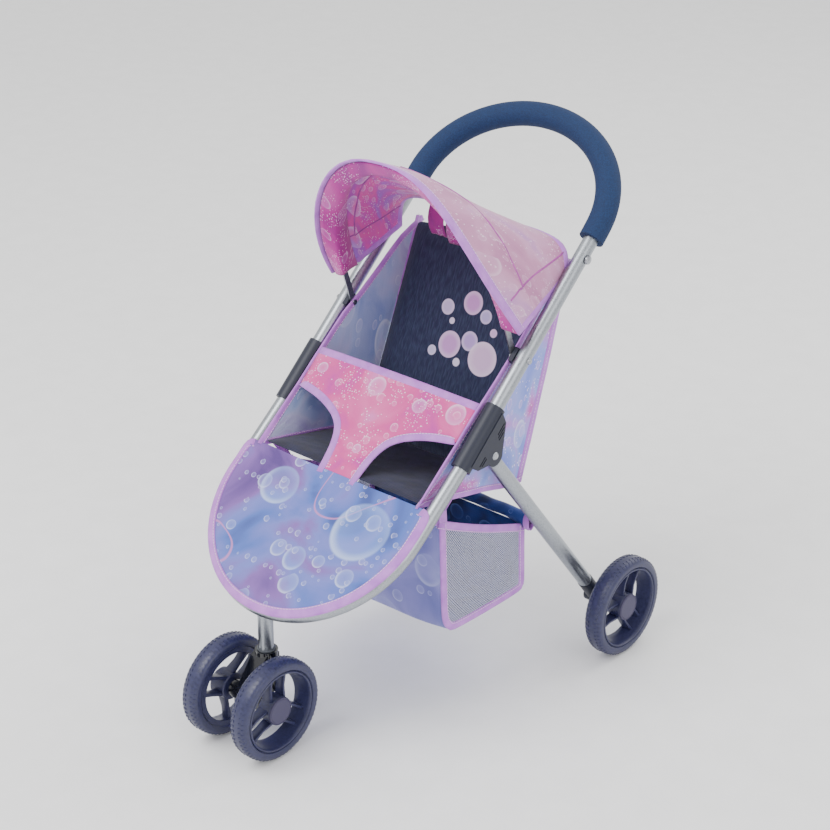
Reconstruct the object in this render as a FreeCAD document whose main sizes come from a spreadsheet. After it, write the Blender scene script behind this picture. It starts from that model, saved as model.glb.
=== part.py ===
import FreeCAD, Part
import math
import os
import Sketcher
from FreeCAD import Placement, Rotation, Vector

# A doll stroller: three-wheeled jogger frame, folding rear legs, swivelling front caster,
# seat sling with tummy panel, footrest, hood on a pivoting bow, and a basket. Millimetres.
# +X is the left side of the stroller, -Y its front and +Z up. The origin is on the ground,
# under the middle of the stroller's box.

SIZES = [
    ("centre_y", -1.3, "moves everything so that the origin is under the middle of the box"),
    ("tube_dia", 16, "outside diameter of every frame tube"),
    ("tube_wall", 1.2, "wall of the frame tubes"),
    ("rail_x", 124, "side rail to the middle plane, also the radius of the front loop"),
    ("rail_slope", 42.6, "side rails above the horizontal, degrees"),
    ("loop_slope", 38.9, "plane of the front loop, degrees"),
    ("arch_slope", 47.3, "plane of the handle arch, degrees"),
    ("hub_low_y", -30, "lower end of the hub sleeve"),
    ("hub_low_z", 287, "height of the lower end of the hub sleeve"),
    ("hub_length", 73, "hub sleeve along the rail"),
    ("hub_dia", 21, "outside of the hub sleeve"),
    ("hub_bore_depth", 22, "front loop tube inside the sleeve"),
    ("ear_width", 22.8, "over both ears that hold the leg"),
    ("ear_radius", 11.5, "round end of an ear"),
    ("pivot_along", 32.4, "leg pivot along the rail from the sleeve's lower end"),
    ("pivot_below", 25.3, "leg pivot below the rail's centreline"),
    ("rivet_dia", 5, "leg pivot rivet"),
    ("screw_dia", 3, "hood pivot screw"),
    ("running_gap", 0.05, "radial gap of a running fit"),
    ("side_gap", 0.3, "gap between pieces that pass each other"),
    ("upper_rail", 212.8, "rail from the hub sleeve to the handle's bend"),
    ("arch_height", 111.2, "handle arch in its own plane"),
    ("bend_length", 9, "tube on each side of the handle's bend"),
    ("grip_dia", 27, "outside of the foam grip"),
    ("loop_straight", 89.3, "straight part of the front loop"),
    ("stem_y", -186.8, "axis of the caster stem"),
    ("stem_foot_z", 66.3, "lower end of the caster stem"),
    ("stem_top_z", 150, "upper end of the caster stem"),
    ("socket_radius", 12, "caster socket around the stem"),
    ("socket_low_z", 54, "lower end of the caster socket"),
    ("socket_top_z", 100, "upper end of the caster socket"),
    ("floor_z", 62, "underside of the caster socket's floor"),
    ("caster_lead", 24.9, "front axle ahead of the stem axis"),
    ("axle_boss_x", 22, "end of the caster's axle boss"),
    ("front_radius", 55, "front wheel"),
    ("rear_radius", 57, "rear wheel"),
    ("wheel_width", 22, "tread of every wheel"),
    ("tyre_depth", 11, "tyre outside the rim"),
    ("wheel_hub_radius", 15.5, "hub of a wheel"),
    ("hub_back", 10, "inner face of a wheel hub from the middle of the wheel"),
    ("hub_face", 7.3, "outer face of a wheel hub from the middle of the wheel"),
    ("cap_thickness", 2, "hub cap"),
    ("front_wheel_x", 35.2, "middle of a front wheel"),
    ("rear_wheel_x", 178, "middle of a rear wheel"),
    ("rear_axle_y", 185, "rear axle"),
    ("axle_dia", 5, "front and rear axles"),
    ("leg_foot_x", 141, "rear leg at the height of the axle"),
    ("leg_foot", 30, "plastic foot between the leg's tube and the axle"),
    ("foot_x", 163, "end of the foot's axle boss"),
    ("crossbar_share", 0.52, "height of the crossbar as a share of the leg"),
    ("crossbar_dia", 8, "bar between the rear legs"),
    ("fabric", 2.5, "thickness given to a cloth panel"),
    ("seat_x", 108.5, "inside of the seat's side panels"),
    ("seat_bend_y", 30, "where a side panel turns in towards the backrest"),
    ("basket_x", 110, "outside of the basket"),
    ("basket_wall", 2, "thickness given to the basket's cloth"),
    ("footrest_x", 127, "edge of the footrest cloth, also the radius of its round end"),
    ("footrest_top", 56, "upper edge of the footrest below the hub, along the loop"),
    ("bow_x", 112.3, "outside of the hood bow"),
    ("bow_slope", 71.9, "plane of the hood bow, degrees"),
    ("bow_along", 130.5, "bow pivot along the rail from the hub's lower end"),
    ("bow_leg", 40, "straight part of the hood bow"),
    ("bow_rise", 155.8, "arched part of the hood bow"),
    ("bow_strip", 1.6, "thickness of the bow's strip"),
    ("bow_width", 7, "width of the bow's strip"),
    ("hood_wall", 2, "thickness given to the hood's cloth"),
]

doc = FreeCAD.newDocument("doll_stroller")
sheet = doc.addObject("Spreadsheet::Sheet", "sizes")
for row, (alias, number, meaning) in enumerate(SIZES, 1):
    sheet.set(f"A{row}", meaning)
    sheet.set(f"B{row}", str(number))
    sheet.setAlias(f"B{row}", alias)
doc.recompute()


class Size:
    """A length or an angle that knows its number and the formula that gives it."""

    def __init__(self, number, formula):
        self.number = number
        self.formula = formula

    def __float__(self):
        return float(self.number)

    def join(self, sign, other, number):
        return Size(number, f"({self.formula} {sign} {as_size(other).formula})")

    def __add__(self, other):
        return self.join("+", other, float(self) + float(other))

    def __sub__(self, other):
        return self.join("-", other, float(self) - float(other))

    def __radd__(self, other):
        return as_size(other) + self

    def __rsub__(self, other):
        return as_size(other) - self

    def __mul__(self, other):
        return self.join("*", other, float(self) * float(other))

    def __truediv__(self, other):
        return self.join("/", other, float(self) / float(other))

    def __neg__(self):
        return Size(-float(self), f"(-1 * {self.formula})")


def as_size(value):
    return value if isinstance(value, Size) else Size(value, str(value))


def sine(angle):
    return Size(math.sin(math.radians(float(angle))), f"sin({angle.formula} * 1 deg)")


def cosine(angle):
    return Size(math.cos(math.radians(float(angle))), f"cos({angle.formula} * 1 deg)")


def root(value):
    return Size(math.sqrt(float(value)), f"sqrt({value.formula})")


size = {alias: Size(float(number), f"sizes.{alias}") for alias, number, _ in SIZES}
gap, side_gap = size["running_gap"], size["side_gap"]
tube_radius = size["tube_dia"] / 2
tube_bore = tube_radius - size["tube_wall"]
axle_radius = size["axle_dia"] / 2
rivet_radius = size["rivet_dia"] / 2
screw_radius = size["screw_dia"] / 2
crossbar_radius = size["crossbar_dia"] / 2
ACROSS = Rotation(Vector(0, 1, 0), 90)
nodes = []


def bind(thing, name, value):
    """Ties a property or a constraint to the sheet."""
    thing.setExpression(name, as_size(value).formula)


def keep(thing, label):
    """Names a finished piece, which then gets a file of its own."""
    thing.Label = label
    nodes.append(thing)
    return thing


def tilt(angle):
    """A turn about X."""
    return Rotation(Vector(1, 0, 0), float(angle))


def rail_point(along, below=0, slope="rail_slope"):
    """(y, z) of a point given along a rail from the hub's lower end and below its centreline."""
    lean, rise = cosine(size[slope]), sine(size[slope])
    along, below = as_size(along), as_size(below)
    return (
        size["hub_low_y"] + lean * along + rise * below,
        size["hub_low_z"] + rise * along - lean * below,
    )


PIVOT = rail_point(size["pivot_along"], size["pivot_below"])
BOW = rail_point(size["bow_along"])
LOOP_FRONT = rail_point(-(size["loop_straight"] + size["rail_x"]), 0, "loop_slope")
HUB_LOW = (size["hub_low_y"], size["hub_low_z"])


class Body:
    """A PartDesign body with short ways to sketch and to add features."""

    def __init__(self, name, x, place, turn=Rotation()):
        self.body = doc.addObject("PartDesign::Body", name)
        self.body.Placement.Rotation = turn
        where = (as_size(x), as_size(place[0]) + size["centre_y"], place[1])
        for axis, value in zip("xyz", where):
            bind(self.body, f"Placement.Base.{axis}", value)
        doc.recompute()

    def origin(self, role):
        return [thing for thing in self.body.Origin.OriginFeatures if thing.Role == role][0]

    def sketch(self, plane, offset=0, turn=Rotation()):
        sketch = self.body.newObject("Sketcher::SketchObject", "sketch")
        sketch.AttachmentSupport = [(self.origin(f"{plane}_Plane"), "")]
        sketch.MapMode = "FlatFace"
        sketch.AttachmentOffset = Placement(Vector(0, 0, float(offset)), turn)
        bind(sketch, "AttachmentOffset.Base.z", offset)
        return sketch

    def add(self, kind, **settings):
        feature = self.body.newObject(f"PartDesign::{kind}", kind.lower())
        for name, value in settings.items():
            setattr(feature, name, float(value) if isinstance(value, Size) else value)
            if isinstance(value, Size):
                bind(feature, name, value)
        self.body.Tip = feature
        doc.recompute()
        return feature

    def pad(self, sketch, length, **settings):
        return self.add("Pad", Profile=sketch, Length=as_size(length), **settings)

    def pocket(self, sketch, length, **settings):
        before = self.body.Shape.Volume
        self.add("Pocket", Profile=sketch, Length=as_size(length), **settings)
        if self.body.Shape.Volume > before - 0.01:
            raise ValueError(f"a pocket in {self.body.Name} cuts nothing")

    def slab(self, sketch, length):
        return self.pad(sketch, length, SideType="Symmetric")

    def slot(self, sketch, length):
        self.pocket(sketch, length, SideType="Symmetric")

    def revolve(self, sketch):
        self.add("Revolution", Profile=sketch, ReferenceAxis=(sketch, ["V_Axis"]), Angle=360.0)

    def around(self, feature, count):
        axis = (self.origin("Z_Axis"), [""])
        self.add("PolarPattern", Originals=[feature], Axis=axis, Angle=360, Occurrences=count)


def outline(sketch, corners):
    """A closed outline of straight lines, its corners tied to the sheet."""
    first = sketch.GeometryCount
    spots = [Vector(float(across), float(up), 0) for across, up in corners]
    for number, spot in enumerate(spots):
        sketch.addGeometry(Part.LineSegment(spot, spots[(number + 1) % len(spots)]), False)
    for number, corner in enumerate(corners):
        after = first + (number + 1) % len(corners)
        sketch.addConstraint(Sketcher.Constraint("Coincident", first + number, 2, after, 1))
        place_point(sketch, first + number, 1, corner)
    return sketch


def circle(sketch, radius, across=0, up=0):
    """A circle, its radius and middle tied to the sheet."""
    middle = Vector(float(across), float(up), 0)
    ring = sketch.addGeometry(Part.Circle(middle, Vector(0, 0, 1), float(radius)), False)
    held = sketch.addConstraint(Sketcher.Constraint("Radius", ring, float(radius)))
    bind(sketch, f"Constraints[{held}]", radius)
    place_point(sketch, ring, 3, (across, up))
    return sketch


def ring(sketch, outer, inner, across=0, up=0):
    return circle(circle(sketch, outer, across, up), inner, across, up)


def place_point(sketch, line, end, place):
    for kind, value in zip(("DistanceX", "DistanceY"), place):
        tie = Sketcher.Constraint(kind, -1, 1, line, end, float(value))
        bind(sketch, f"Constraints[{sketch.addConstraint(tie)}]", value)


def draw(sketch, edges):
    for edge in edges:
        sketch.addGeometry(edge, False)
    return sketch


def mirror(source, label):
    """The same piece on the other side."""
    copy = doc.addObject("Part::Mirroring", label)
    copy.Source = source
    copy.Normal = Vector(1, 0, 0)
    return copy


def both_sides(body, name):
    """The piece and its mirror copy as two nodes."""
    keep(body.body, f"{name}_left")
    keep(mirror(body.body, f"{name}_right"), f"{name}_right")


def group(body, label):
    """The piece and its mirror copy as two separate solids of one node."""
    together = doc.addObject("Part::Compound", label)
    together.Links = [body.body, mirror(body.body, f"{label}_copy")]
    keep(together, label)


def solid(label, shape):
    """A piece with a shape that no sketched feature gives."""
    piece = doc.addObject("Part::Feature", label)
    piece.Shape = shape.translated(Vector(0, float(size["centre_y"]), 0))
    keep(piece, label)


def spot(x, place):
    return Vector(float(x), float(place[0]), float(place[1]))


def direction(slope):
    return Vector(0, float(cosine(size[slope])), float(sine(size[slope])))


# Frame tubes and hubs


def bent_path(start):
    """Edges up the left rail from start, around the handle and down the right rail."""
    x, bend = size["rail_x"], float(size["bend_length"])
    corner = spot(x, rail_point(size["hub_length"] + size["upper_rail"]))
    low = corner - direction("rail_slope") * bend
    high = corner + direction("arch_slope") * bend
    half_bend = math.radians(float(size["arch_slope"] - size["rail_slope"])) / 2
    middle = corner + ((low + high) / 2 - corner) / (1 + math.cos(half_bend))
    rise = float(size["arch_height"]) - bend
    arch = Part.Ellipse(Vector(float(x), 0, 0), Vector(0, rise, 0), Vector(0, 0, 0))
    arch = Part.ArcOfEllipse(arch, 0, math.pi).toShape()
    arch.Placement = Placement(Vector(0, high.y, high.z), tilt(size["arch_slope"]))
    side = [Part.Arc(low, middle, high).toShape()]
    if start.distanceToPoint(low) > 0.01:
        side.insert(0, Part.LineSegment(start, low).toShape())
    other = [edge.mirror(Vector(0, 0, 0), Vector(1, 0, 0)) for edge in side]
    return side + [arch] + other


def rod(edges, radius, start):
    """A solid bar along joined edges that start up a rail."""
    path = Part.Wire(Part.sortEdges(edges)[0])
    end = Part.Wire(Part.makeCircle(float(radius), start, direction("rail_slope")))
    return path.makePipeShell([end], True, False)


def handle():
    """The upper tube from hub to hub around the handle, and the foam on its arch."""
    foot = spot(size["rail_x"], rail_point(size["hub_bore_depth"] + 4))
    tube_path = bent_path(foot)
    tube = rod(tube_path, tube_radius, foot).cut(rod(tube_path, tube_bore, foot))
    hole = Part.makeCylinder(float(screw_radius + gap), 300, spot(-150, BOW), Vector(1, 0, 0))
    solid("handle_tube", tube.cut(hole))
    along = size["hub_length"] + size["upper_rail"] - size["bend_length"]
    grip_foot = spot(size["rail_x"], rail_point(along))
    grip_path = bent_path(grip_foot)
    bore = rod(grip_path, tube_radius + gap, grip_foot)
    solid("handle_grip", rod(grip_path, size["grip_dia"] / 2, grip_foot).cut(bore))


def front_loop():
    """The lower tube: a U in one plane, its ends inside the hubs."""
    body = Body("front_loop", 0, HUB_LOW, tilt(size["loop_slope"]))
    x, straight, inside = (float(size[name]) for name in ("rail_x", "loop_straight", "hub_bore_depth"))
    spine = draw(body.sketch("XY"), [
        Part.LineSegment(Vector(x, inside, 0), Vector(x, -straight, 0)),
        Part.Arc(Vector(x, -straight, 0), Vector(0, -straight - x, 0), Vector(-x, -straight, 0)),
        Part.LineSegment(Vector(-x, -straight, 0), Vector(-x, inside, 0)),
    ])
    section = ring(body.sketch("XZ", -size["hub_bore_depth"]), tube_radius, tube_bore, size["rail_x"])
    body.add("AdditivePipe", Profile=section, Spine=(spine, ["Edge1", "Edge2", "Edge3"]))
    keep(body.body, "front_loop_tube")


def stem():
    """The upright tube that the caster turns on, shaped to the loop above it, and its plug."""
    foot = (size["stem_y"], size["stem_foot_z"])
    body = Body("stem", 0, foot)
    body.pad(ring(body.sketch("XY"), tube_radius, tube_bore), size["stem_top_z"] - foot[1])
    saddle = circle(body.sketch("YZ"), tube_radius + gap, LOOP_FRONT[0] - foot[0], LOOP_FRONT[1] - foot[1])
    body.slot(saddle, size["tube_dia"] * 2)
    keep(body.body, "front_stem")
    plug = Body("plug", 0, foot)
    plug.pad(ring(plug.sketch("XY"), tube_bore - gap, gap + 3), 20)
    keep(plug.body, "stem_plug")


def hub():
    """The moulded joint on each rail: a sleeve, a web and two ears that hold the leg."""
    body = Body("hub", size["rail_x"], HUB_LOW, tilt(size["rail_slope"] - 90))
    below, along = size["pivot_below"], size["pivot_along"]
    body.pad(circle(body.sketch("XY"), size["hub_dia"] / 2), size["hub_length"])
    web = [(0, 6), (12, 8), (24, 21), (below + 10, along - 5.5), (below + 8.5, along + 7.5), (13, 66), (0, 70)]
    body.slab(outline(body.sketch("YZ"), web), size["ear_width"])
    body.slab(circle(body.sketch("YZ"), size["ear_radius"], below, along), size["ear_width"])
    near, top = below - size["ear_radius"] - 0.5, along + size["ear_radius"] + 0.5
    room = [(near, -20), (60, -20), (60, top), (near, top)]
    body.slot(outline(body.sketch("YZ"), room), size["tube_dia"] + 2)
    body.slot(circle(body.sketch("YZ"), rivet_radius, below, along), size["ear_width"] * 2)
    body.pocket(circle(body.sketch("XY", size["hub_length"] + 1), tube_radius + gap), size["hub_length"])
    lower_bore = body.sketch("XY", 0, tilt(size["loop_slope"] - size["rail_slope"]))
    body.slot(circle(lower_bore, tube_radius + gap), (size["hub_bore_depth"] + 1) * 2)
    for across, low, high in ((10.5, 50, 64), (13.5, 48, 61), (16.5, 47, 57), (10.5, 12, 24), (13.5, 14, 24)):
        groove = [(across, low), (across + 1.4, low), (across + 1.4, high), (across, high)]
        body.pocket(outline(body.sketch("YZ", size["ear_width"] / 2), groove), 1.2)
    both_sides(body, "hub")


def rivet():
    """The pivot of a leg: a shank through both ears with a domed head at each end."""
    body = Body("rivet", size["rail_x"], PIVOT, ACROSS)
    half = size["ear_width"] / 2
    profile = [
        (0, -half - 1.6), (3.2, -half - 1.3), (4.2, -half), (rivet_radius, -half),
        (rivet_radius, half), (4.2, half), (3.2, half + 1.3), (0, half + 1.6),
    ]
    body.revolve(outline(body.sketch("XZ"), profile))
    group(body, "pivot_rivets")


# Rear legs, whose bodies have Z up the leg in the side view and X across the stroller

LEG_FOOT = (size["rear_axle_y"], size["rear_radius"])
LEG_BACK = LEG_FOOT[0] - PIVOT[0]
LEG_RISE = PIVOT[1] - LEG_FOOT[1]
LEG_LENGTH = root(LEG_BACK * LEG_BACK + LEG_RISE * LEG_RISE)
LEG_SPLAY = (size["rail_x"] - size["leg_foot_x"]) / LEG_LENGTH
LEG_TURN = tilt(math.degrees(math.atan2(float(LEG_BACK), float(LEG_RISE))))
CROSSBAR_UP = LEG_LENGTH * size["crossbar_share"]


def leg_body(name):
    return Body(name, size["leg_foot_x"], LEG_FOOT, LEG_TURN)


def splayed(body, low, high, outer, inner=None):
    """A tube or rod along the leaning leg between two distances from the axle."""
    sketch = circle(body.sketch("XY", low), outer, LEG_SPLAY * low)
    if inner is not None:
        circle(sketch, inner, LEG_SPLAY * low)
    lean = Vector(float(LEG_SPLAY), 0, 1)
    body.pad(sketch, as_size(high) - low, UseCustomVector=True, Direction=lean)


def rear_legs():
    leg = leg_body("leg")
    splayed(leg, size["leg_foot"], LEG_LENGTH + 6, tube_radius, tube_bore)
    leg.slot(circle(leg.sketch("YZ"), rivet_radius + gap, 0, LEG_LENGTH), 80)
    inner_wall = leg.sketch("YZ", LEG_SPLAY * CROSSBAR_UP)
    leg.pocket(circle(inner_wall, crossbar_radius + gap, 0, CROSSBAR_UP), 14)
    both_sides(leg, "rear_leg")

    foot = leg_body("foot")
    splayed(foot, Size(0, "0"), size["leg_foot"], tube_radius + 0.6)
    splayed(foot, size["leg_foot"], size["leg_foot"] + 14, tube_bore - gap)
    foot.pad(circle(foot.sketch("YZ", -9), tube_radius + 1.6), size["foot_x"] - size["leg_foot_x"] + 9)
    foot.pocket(circle(foot.sketch("YZ", size["foot_x"] - size["leg_foot_x"]), axle_radius + gap), 17)
    both_sides(foot, "leg_foot")

    bar = Body("crossbar", 0, (LEG_FOOT[0] - LEG_BACK * size["crossbar_share"],
                               LEG_FOOT[1] + LEG_RISE * size["crossbar_share"]), ACROSS)
    half = size["leg_foot_x"] + LEG_SPLAY * CROSSBAR_UP - 1
    bar.slab(circle(bar.sketch("XY"), crossbar_radius), half * 2)
    keep(bar.body, "leg_crossbar")

    loops = Body("loop", 116, (LEG_FOOT[0] - LEG_BACK * size["crossbar_share"],
                               LEG_FOOT[1] + LEG_RISE * size["crossbar_share"]), ACROSS)
    loops.slab(ring(loops.sketch("XY"), crossbar_radius + side_gap + 1.6, crossbar_radius + side_gap), 10)
    group(loops, "basket_rear_loops")

    axle = Body("rear_axle", size["foot_x"], LEG_FOOT, ACROSS)
    axle.pad(circle(axle.sketch("XY", -16), axle_radius), 37)
    group(axle, "rear_axles")
    washer = Body("rear_washer", size["foot_x"], LEG_FOOT, ACROSS)
    thick = size["rear_wheel_x"] - size["hub_back"] - side_gap - size["foot_x"] - 0.2
    washer.pad(ring(washer.sketch("XY", 0.2), 5.5, axle_radius + gap), thick)
    group(washer, "rear_washers")


# Caster and wheels

FRONT_AXLE = (size["stem_y"] - size["caster_lead"], size["front_radius"])


def caster():
    """The fork block with its bush, axle and spacers, and what holds it on the stem."""
    low, top, floor = size["socket_low_z"], size["socket_top_z"], size["floor_z"]
    block = Body("caster", 0, (size["stem_y"], 0))
    block.pad(circle(block.sketch("XY", low), size["socket_radius"]), top - low)
    lead, axle_z = -size["caster_lead"], size["front_radius"]
    web = [
        (lead - 10, axle_z), (lead - 6, axle_z - 8), (lead + 2, axle_z - 10), (6, low),
        (9, low + 8), (9, top - 4), (-6, top), (-13, top - 6), (lead - 8, axle_z + 12),
    ]
    block.slab(outline(block.sketch("YZ"), web), 19)
    block.slab(circle(block.sketch("YZ"), 10, lead, axle_z), size["axle_boss_x"] * 2)
    block.slot(circle(block.sketch("YZ"), axle_radius, lead, axle_z), size["axle_boss_x"] * 3)
    seat = size["stem_foot_z"] - side_gap
    block.pocket(circle(block.sketch("XY", top + 1), tube_radius + 1.5), top + 1 - seat)
    block.pocket(circle(block.sketch("XY", floor), 8), floor - low + 12)
    block.pocket(circle(block.sketch("XY", seat + 1), gap + 3), 6)
    keep(block.body, "caster_housing")

    bush = Body("bush", 0, (size["stem_y"], seat))
    bush.pad(ring(bush.sketch("XY"), tube_radius + 1.5, tube_radius + gap), top - seat + 1.5)
    keep(bush.body, "caster_bush")

    screw = Body("caster_bolt", 0, (size["stem_y"], floor))
    profile = [(0, -5), (5, -5), (5, -2), (3, -2), (3, 22), (0, 22)]
    screw.revolve(outline(screw.sketch("XZ"), profile))
    keep(screw.body, "caster_screw")
    washer = Body("caster_disc", 0, (size["stem_y"], floor - 2))
    washer.pad(ring(washer.sketch("XY"), 6.5, gap + 3), 2 - side_gap)
    keep(washer.body, "caster_washer")

    axle = Body("front_rod", 0, FRONT_AXLE, ACROSS)
    axle.slab(circle(axle.sketch("XY"), axle_radius), (size["front_wheel_x"] + size["hub_face"] - 0.6) * 2)
    keep(axle.body, "front_axle")
    spacer = Body("front_spacer", size["axle_boss_x"], FRONT_AXLE, ACROSS)
    thick = size["front_wheel_x"] - size["hub_back"] - side_gap - size["axle_boss_x"]
    spacer.pad(ring(spacer.sketch("XY"), 5.5, axle_radius + gap), thick)
    group(spacer, "front_spacers")


def wheel(name, radius, x, place):
    """Tyre, spoked rim and hub cap of a wheel whose Z points away from the stroller."""
    rim_radius, half = radius - size["tyre_depth"], size["wheel_width"] / 2
    tyre = Body(f"{name}_tyre_body", x, place, ACROSS)
    profile = [
        (rim_radius, -half + 1), (radius - 6, -half), (radius - 2.5, -half + 2), (radius, -half + 6),
        (radius, half - 6), (radius - 2.5, half - 2), (radius - 6, half), (rim_radius, half - 1),
    ]
    tyre.revolve(outline(tyre.sketch("XZ"), profile))
    both_sides(tyre, f"{name}_tyre")

    rim = Body(f"{name}_rim_body", x, place, ACROSS)
    hub_radius = size["wheel_hub_radius"]
    rim.pad(circle(rim.sketch("XY", -size["hub_back"]), hub_radius), size["hub_back"] + size["hub_face"])
    rim.slab(ring(rim.sketch("XY"), rim_radius, rim_radius - 4), size["wheel_width"] - 4)
    for low, high in ((6.5, 10.5), (-10.5, -6.5)):
        end = rim_radius - 2
        rib = [(hub_radius - 6, low), (end, low), (end, high), (hub_radius - 6, high)]
        rim.around(rim.slab(outline(rim.sketch("XY"), rib), 13), 3)
    rim.slot(circle(rim.sketch("XY"), axle_radius + gap), 60)
    both_sides(rim, f"{name}_rim")

    cap = Body(f"{name}_cap_body", x, place, ACROSS)
    thick, face = size["cap_thickness"], size["hub_face"]
    profile = [(0, face), (15, face), (15, face + thick - 0.6), (14, face + thick), (0, face + thick)]
    cap.revolve(outline(cap.sketch("XZ"), profile))
    both_sides(cap, f"{name}_cap")


# Seat, footrest and basket


def seat():
    half = size["seat_x"] - 0.4
    base = Body("seat_base_body", 0, (62, 228.5), tilt(-11.9))
    base.slab(outline(base.sketch("YZ"), [(0, 0), (-141, 0), (-141, -5), (0, -5)]), (half - 2) * 2)
    keep(base.body, "seat_base")

    back = Body("seat_back_body", 0, (62.5, 226))
    wedge = [(0, 0), (92.5, 221), (104, 219.5), (25, -4)]
    back.slab(outline(back.sketch("YZ"), wedge), (size["seat_x"] - 9.2) * 2)
    keep(back.body, "seat_back")

    side = Body("seat_side_body", size["seat_x"], (size["seat_bend_y"], 225))
    wall = [(-109, 37), (0, 124), (0, 8), (-107, 30)]
    side.pad(outline(side.sketch("YZ"), wall), size["fabric"])
    turned = side.sketch("YZ", 0, Rotation(Vector(0, 1, 0), 3.6))
    wall = [(-1, 123), (35, 145), (122, 221), (138, 222), (59, -2), (33, -1), (-1, 8)]
    side.pad(outline(turned, wall), size["fabric"])
    both_sides(side, "seat_side")

    panel = Body("tummy_body", 0, (-77, 257.6), tilt(40.4))
    right = [(24, 0), (24, 26), (29, 44), (44, 62), (66, 74), (half, 79), (half, 122)]
    left = [(-as_size(across), up) for across, up in reversed(right)]
    panel.pad(outline(panel.sketch("XY"), right + left), size["fabric"])
    keep(panel.body, "tummy_panel")


def footrest():
    """The cloth over the front loop, round at its lower end."""
    body = Body("footrest_body", 0, HUB_LOW, tilt(size["loop_slope"]))
    radius, straight, top = (float(size[name]) for name in ("footrest_x", "loop_straight", "footrest_top"))
    low_left, low_right = Vector(-radius, -straight, 0), Vector(radius, -straight, 0)
    top_left, top_right = Vector(-radius, -top, 0), Vector(radius, -top, 0)
    shape = draw(body.sketch("XY", tube_radius + 0.4), [
        Part.LineSegment(low_right, top_right), Part.LineSegment(top_right, top_left),
        Part.LineSegment(top_left, low_left), Part.Arc(low_left, Vector(0, -straight - radius, 0), low_right),
    ])
    body.pad(shape, size["fabric"])
    keep(body.body, "footrest_panel")


def basket():
    """The storage basket with an open top, and the straps that hang its front from the loop."""
    wall = size["basket_wall"]
    body = Body("basket_body", 0, (0, 0))
    bag = [(-42, 228), (-38, 108), (-22, 91), (95, 89), (91, 171.5)]
    body.slab(outline(body.sketch("YZ"), bag), size["basket_x"] * 2)
    room = [
        (wall - 42, 260), (wall - 38, wall + 108), (wall - 22, wall + 91),
        (-wall + 95, wall + 89), (-wall + 91, 171.5), (-wall + 91, 260),
    ]
    body.slot(outline(body.sketch("YZ"), room), (size["basket_x"] - wall) * 2)
    keep(body.body, "basket")

    strap = Body("strap_body", size["rail_x"], HUB_LOW, tilt(size["loop_slope"]))
    strap.pad(ring(strap.sketch("XZ", 25), tube_radius + side_gap + 1.5, tube_radius + side_gap), 12)
    band = [(-37, 3), (-25, 3), (-25, -3), (-54, -52), (-66, -52), (-37, -3)]
    strap.pad(outline(strap.sketch("YZ", -tube_radius - 3), band), 2.4)
    group(strap, "basket_front_straps")


# Hood


def hood_bow():
    """A flat strip bent to an arch, pivoting on a screw through each rail."""
    body = Body("hood_bow_body", 0, BOW, tilt(180 - float(size["bow_slope"])))
    leg, edges = float(size["bow_leg"]), []
    for inset in (0, float(size["bow_strip"])):
        x, rise = float(size["bow_x"]) - inset, float(size["bow_rise"]) - inset
        arch = Part.Ellipse(Vector(0, leg + rise, 0), Vector(-x, leg, 0), Vector(0, leg, 0))
        edges += [
            Part.LineSegment(Vector(x, -5, 0), Vector(x, leg, 0)),
            Part.ArcOfEllipse(arch, -math.pi / 2, math.pi / 2),
            Part.LineSegment(Vector(-x, leg, 0), Vector(-x, -5, 0)),
        ]
    x, inner = float(size["bow_x"]), float(size["bow_x"] - size["bow_strip"])
    edges += [Part.LineSegment(Vector(end * x, -5, 0), Vector(end * inner, -5, 0)) for end in (1, -1)]
    body.slab(draw(body.sketch("XY"), edges), size["bow_width"])
    body.slot(circle(body.sketch("YZ"), screw_radius + gap), 300)
    keep(body.body, "hood_bow")

    clip = Body("clip_body", size["rail_x"], BOW, tilt(size["rail_slope"] - 90))
    block = [(-7, -8), (7, -8), (7, 8), (-7, 8)]
    inside = size["bow_x"] + side_gap - size["rail_x"]
    clip.pad(outline(clip.sketch("YZ", inside), block), -inside - 6)
    clip.slot(circle(clip.sketch("XY"), tube_radius + gap), 40)
    clip.slot(circle(clip.sketch("YZ"), screw_radius + gap), 40)
    both_sides(clip, "hood_clip")

    screw = Body("hood_screw_body", 0, BOW, ACROSS)
    nut = size["bow_x"] - size["bow_strip"] - side_gap
    outside = size["rail_x"] + tube_radius
    profile = [
        (0, nut - 2), (3, nut - 2), (3, nut), (screw_radius, nut), (screw_radius, outside),
        (3.6, outside), (2.8, outside + 1.8), (0, outside + 2),
    ]
    screw.revolve(outline(screw.sketch("XZ"), profile))
    group(screw, "hood_pivot_screws")

    stud = Body("stud_body", size["rail_x"] + tube_radius, rail_point(254), ACROSS)
    stud.revolve(outline(stud.sketch("XZ"), [(0, 0), (3.4, 0), (3.4, 1), (5, 1), (4.4, 2.6), (0, 3.2)]))
    group(stud, "hood_studs")


def hood_section(half, height, place, slope, across_power, up_power):
    """A closed band across the stroller: the hood's outside in one plane and its inside."""
    corners, count = [], 18
    for inset, turns in ((0, range(count + 1)), (float(size["hood_wall"]), range(count, -1, -1))):
        for turn in turns:
            angle = math.pi * turn / count
            lean = math.cos(angle) if 0 < turn < count else math.copysign(1, count / 2 - turn)
            up = (height - inset) * abs(math.sin(angle) if 0 < turn < count else 0) ** up_power
            x = (half - inset) * math.copysign(abs(lean) ** across_power, lean)
            y = place[0] - up * math.cos(math.radians(slope))
            corners.append(Vector(x, y, place[1] + up * math.sin(math.radians(slope))))
    return Part.makePolygon(corners + corners[:1])


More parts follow.
